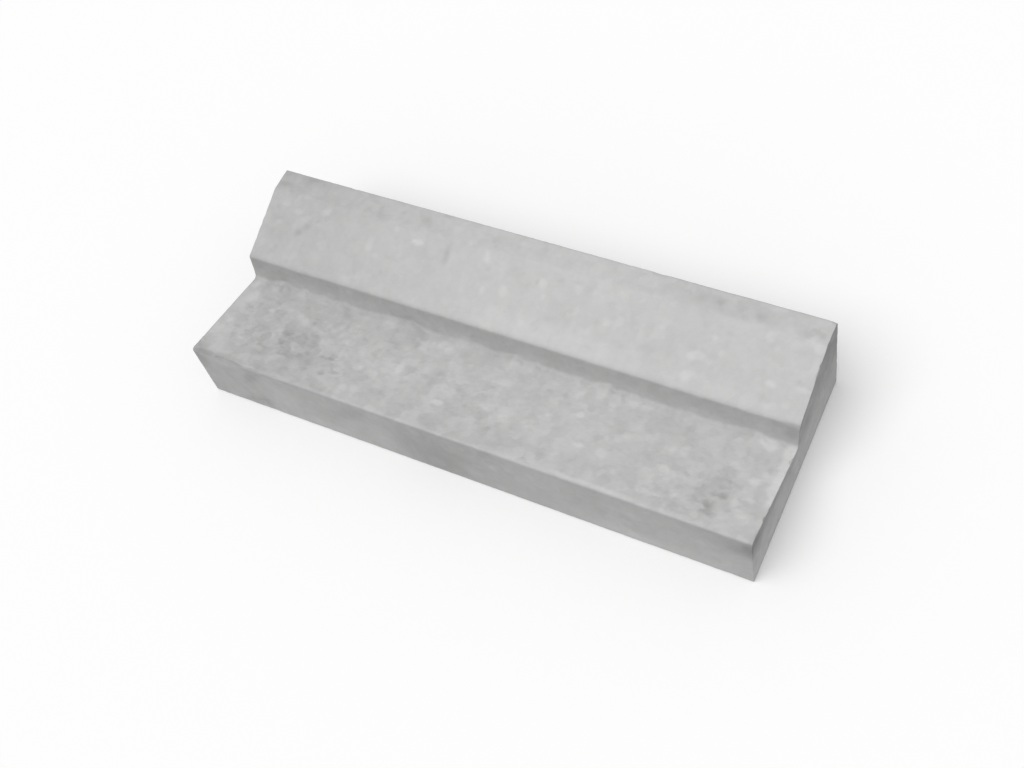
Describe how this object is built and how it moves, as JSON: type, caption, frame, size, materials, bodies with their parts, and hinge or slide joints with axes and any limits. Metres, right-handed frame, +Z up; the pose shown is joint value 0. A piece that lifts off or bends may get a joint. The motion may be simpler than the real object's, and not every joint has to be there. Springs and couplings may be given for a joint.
{
  "type": "concrete kerb stone",
  "caption": "Long concrete kerb block with a falling water channel along its road side, a low upright riser, a splayed face above it and a level strip along its back.",
  "frame": {"origin": "middle of the bed face, half way along the kerb and half way between road face and back face", "axes": "+X along the kerb, +Y from the road face to the back face, +Z up from the bed"},
  "size_m": [0.8, 0.2949, 0.14],
  "materials": {
    "concrete": "matt grey cast concrete, coarse and pitted in the channel, smoother on the splay and sides"
  },
  "bodies": {
    "root": {"kerb_stone": "concrete"}
  },
  "joints": []
}
